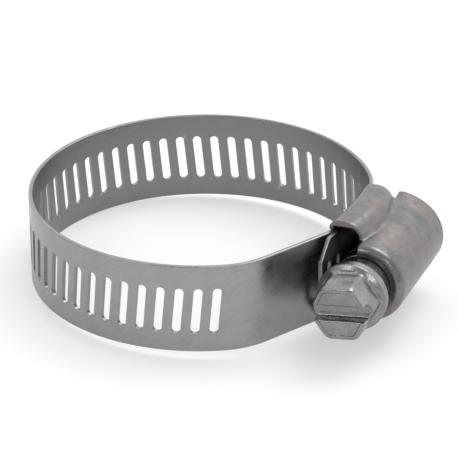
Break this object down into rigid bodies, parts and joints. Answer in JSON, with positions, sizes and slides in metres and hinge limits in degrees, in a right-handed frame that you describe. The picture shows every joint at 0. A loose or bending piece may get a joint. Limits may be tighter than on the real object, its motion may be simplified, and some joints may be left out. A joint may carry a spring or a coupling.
{
  "type": "worm-drive hose clamp",
  "caption": "Worm-drive hose clamp: slotted steel band in a round loop, stamped housing, and a slotted hex screw that draws the band through.",
  "frame": {"origin": "centre of the round loop that the hose passes through, at the middle of the band's width", "axes": "+Z along the hose; the housing is on +X; the screw lies parallel to Y with its head towards -Y"},
  "size_m": [0.056, 0.0478, 0.016],
  "materials": {
    "band_steel": "bright rolled stainless strip with fine drawn marks",
    "housing_steel": "stamped stainless sheet, satin, slightly warm",
    "screw_steel": "cold-formed stainless, satin with bright edges"
  },
  "bodies": {
    "housing_and_fixed_end": {"housing": "housing_steel", "band_fixed_end": "band_steel"},
    "worm_screw": {"worm_screw": "screw_steel"},
    "band_tail": {"band_tail": "band_steel"},
    "band_link_01": {"band_link_01": "band_steel"},
    "band_link_02": {"band_link_02": "band_steel"},
    "band_link_03": {"band_link_03": "band_steel"},
    "band_link_04": {"band_link_04": "band_steel"},
    "band_link_05": {"band_link_05": "band_steel"},
    "band_link_06": {"band_link_06": "band_steel"},
    "band_link_07": {"band_link_07": "band_steel"},
    "band_link_08": {"band_link_08": "band_steel"},
    "band_link_09": {"band_link_09": "band_steel"},
    "band_link_10": {"band_link_10": "band_steel"},
    "band_link_11": {"band_link_11": "band_steel"}
  },
  "joints": [
    {"name": "screw_turn", "type": "hinge", "parent": "housing_and_fixed_end", "child": "worm_screw", "pos_m": [0.02622, 0, 0], "axis": [0, 1, 0], "range_deg": [-1080, 720]},
    {"name": "tail_feed", "type": "hinge", "parent": "housing_and_fixed_end", "child": "band_tail", "pos_m": [-0.02733, 0.00056, 0], "axis": [0, 0, 1], "range_deg": [-5.81, 8.71]},
    {"name": "flex_01", "type": "hinge", "parent": "housing_and_fixed_end", "child": "band_link_01", "pos_m": [0.01136, -0.02068, 0], "axis": [0, 0, 1], "range_deg": [-0.092, 0.127]},
    {"name": "flex_02", "type": "hinge", "parent": "band_link_01", "child": "band_link_02", "pos_m": [0.00208, -0.02351, 0], "axis": [0, 0, 1], "range_deg": [-1.11, 0.74]},
    {"name": "flex_03", "type": "hinge", "parent": "band_link_02", "child": "band_link_03", "pos_m": [-0.00782, -0.02227, 0], "axis": [0, 0, 1], "range_deg": [-0.454, 0.309]},
    {"name": "flex_04", "type": "hinge", "parent": "band_link_03", "child": "band_link_04", "pos_m": [-0.01632, -0.01704, 0], "axis": [0, 0, 1], "range_deg": [-0.71, 1.05]},
    {"name": "flex_05", "type": "hinge", "parent": "band_link_04", "child": "band_link_05", "pos_m": [-0.02191, -0.00878, 0], "axis": [0, 0, 1], "range_deg": [-1.82, 2.72]},
    {"name": "flex_12", "type": "hinge", "parent": "band_tail", "child": "band_link_11", "pos_m": [0.02023, 0.01216, 0], "axis": [0, 0, 1], "range_deg": [-1.58, 1.06]},
    {"name": "flex_11", "type": "hinge", "parent": "band_link_11", "child": "band_link_10", "pos_m": [0.0134, 0.01943, 0], "axis": [0, 0, 1], "range_deg": [-1.12, 1.68]},
    {"name": "flex_10", "type": "hinge", "parent": "band_link_10", "child": "band_link_09", "pos_m": [0.00417, 0.02323, 0], "axis": [0, 0, 1], "range_deg": [-0.9, 1.34]},
    {"name": "flex_09", "type": "hinge", "parent": "band_link_09", "child": "band_link_08", "pos_m": [-0.0058, 0.02288, 0], "axis": [0, 0, 1], "range_deg": [-0.192, 0.278]},
    {"name": "flex_08", "type": "hinge", "parent": "band_link_08", "child": "band_link_07", "pos_m": [-0.01473, 0.01844, 0], "axis": [0, 0, 1], "range_deg": [-1.46, 0.98]},
    {"name": "flex_07", "type": "hinge", "parent": "band_link_07", "child": "band_link_06", "pos_m": [-0.02103, 0.0107, 0], "axis": [0, 0, 1], "range_deg": [-3.06, 2.04]}
  ],
  "couplings": [
    {"joint": "tail_feed", "follows": "screw_turn", "ratio": -0.0080474},
    {"joint": "flex_01", "follows": "screw_turn", "ratio": -0.00009941},
    {"joint": "flex_02", "follows": "screw_turn", "ratio": 0.0010073},
    {"joint": "flex_03", "follows": "screw_turn", "ratio": 0.00040144},
    {"joint": "flex_04", "follows": "screw_turn", "ratio": -0.00095245},
    {"joint": "flex_05", "follows": "screw_turn", "ratio": -0.0025018},
    {"joint": "flex_12", "follows": "screw_turn", "ratio": 0.0014417},
    {"joint": "flex_11", "follows": "screw_turn", "ratio": -0.0015336},
    {"joint": "flex_10", "follows": "screw_turn", "ratio": -0.0012187},
    {"joint": "flex_09", "follows": "screw_turn", "ratio": -0.00023845},
    {"joint": "flex_08", "follows": "screw_turn", "ratio": 0.0013334},
    {"joint": "flex_07", "follows": "screw_turn", "ratio": 0.0028106}
  ]
}
